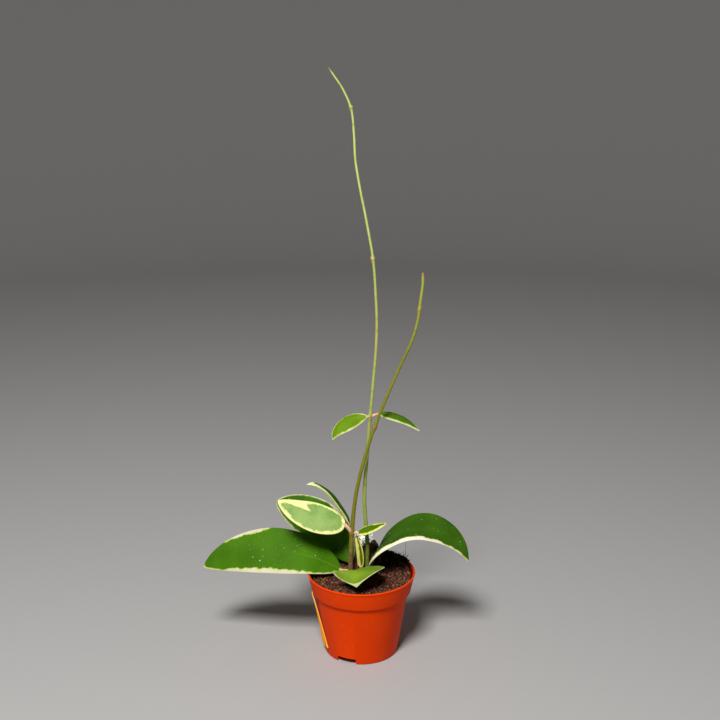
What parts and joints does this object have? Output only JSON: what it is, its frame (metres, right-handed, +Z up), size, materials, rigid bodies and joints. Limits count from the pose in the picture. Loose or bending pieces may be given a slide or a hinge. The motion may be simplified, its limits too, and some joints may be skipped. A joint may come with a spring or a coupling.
{
  "type": "potted hoya plant",
  "caption": "Young climbing houseplant with variegated waxy leaves and long bare vines, rooted in peat in a small round tapered plastic nursery pot.",
  "frame": {"origin": "centre of the foot of the part's bounding box, on the surface that the pot stands on", "axes": "+Z up along the height of the plant, +X to the right and -Y towards the viewer of the pictured side"},
  "size_m": [0.1478, 0.06, 0.3188],
  "materials": {
    "pot_plastic": "satin",
    "potting_soil": "loose coir and peat, matt",
    "plug_peat": "pressed peat, matt",
    "plug_paper": "perforated tissue paper, matt",
    "label_card": "printed card, semi-gloss",
    "stem_olive": "green stem, satin",
    "stem_light": "green stem, satin",
    "leaf_dark": "waxy leaf with a cream margin",
    "leaf_pale": "waxy leaf with a wide cream margin",
    "leaf_fresh": "waxy leaf with a thin yellow margin",
    "leaf_young": "waxy young leaf, half of it yellow"
  },
  "bodies": {
    "root": {"pot": "pot_plastic", "soil": "potting_soil", "rooting_plug": "plug_peat", "plug_paper": "plug_paper", "pot_label": "label_card", "vine_front": "stem_olive", "vine_rear": "stem_light", "leaf_large_left": "leaf_dark", "leaf_large_right": "leaf_dark", "leaf_back": "leaf_dark", "leaf_pale": "leaf_pale", "leaf_small_right": "leaf_fresh", "leaf_curled": "leaf_dark", "leaf_young": "leaf_young", "leaf_front": "leaf_fresh", "leaf_upper_left": "leaf_fresh", "leaf_upper_right": "leaf_fresh"}
  },
  "joints": []
}
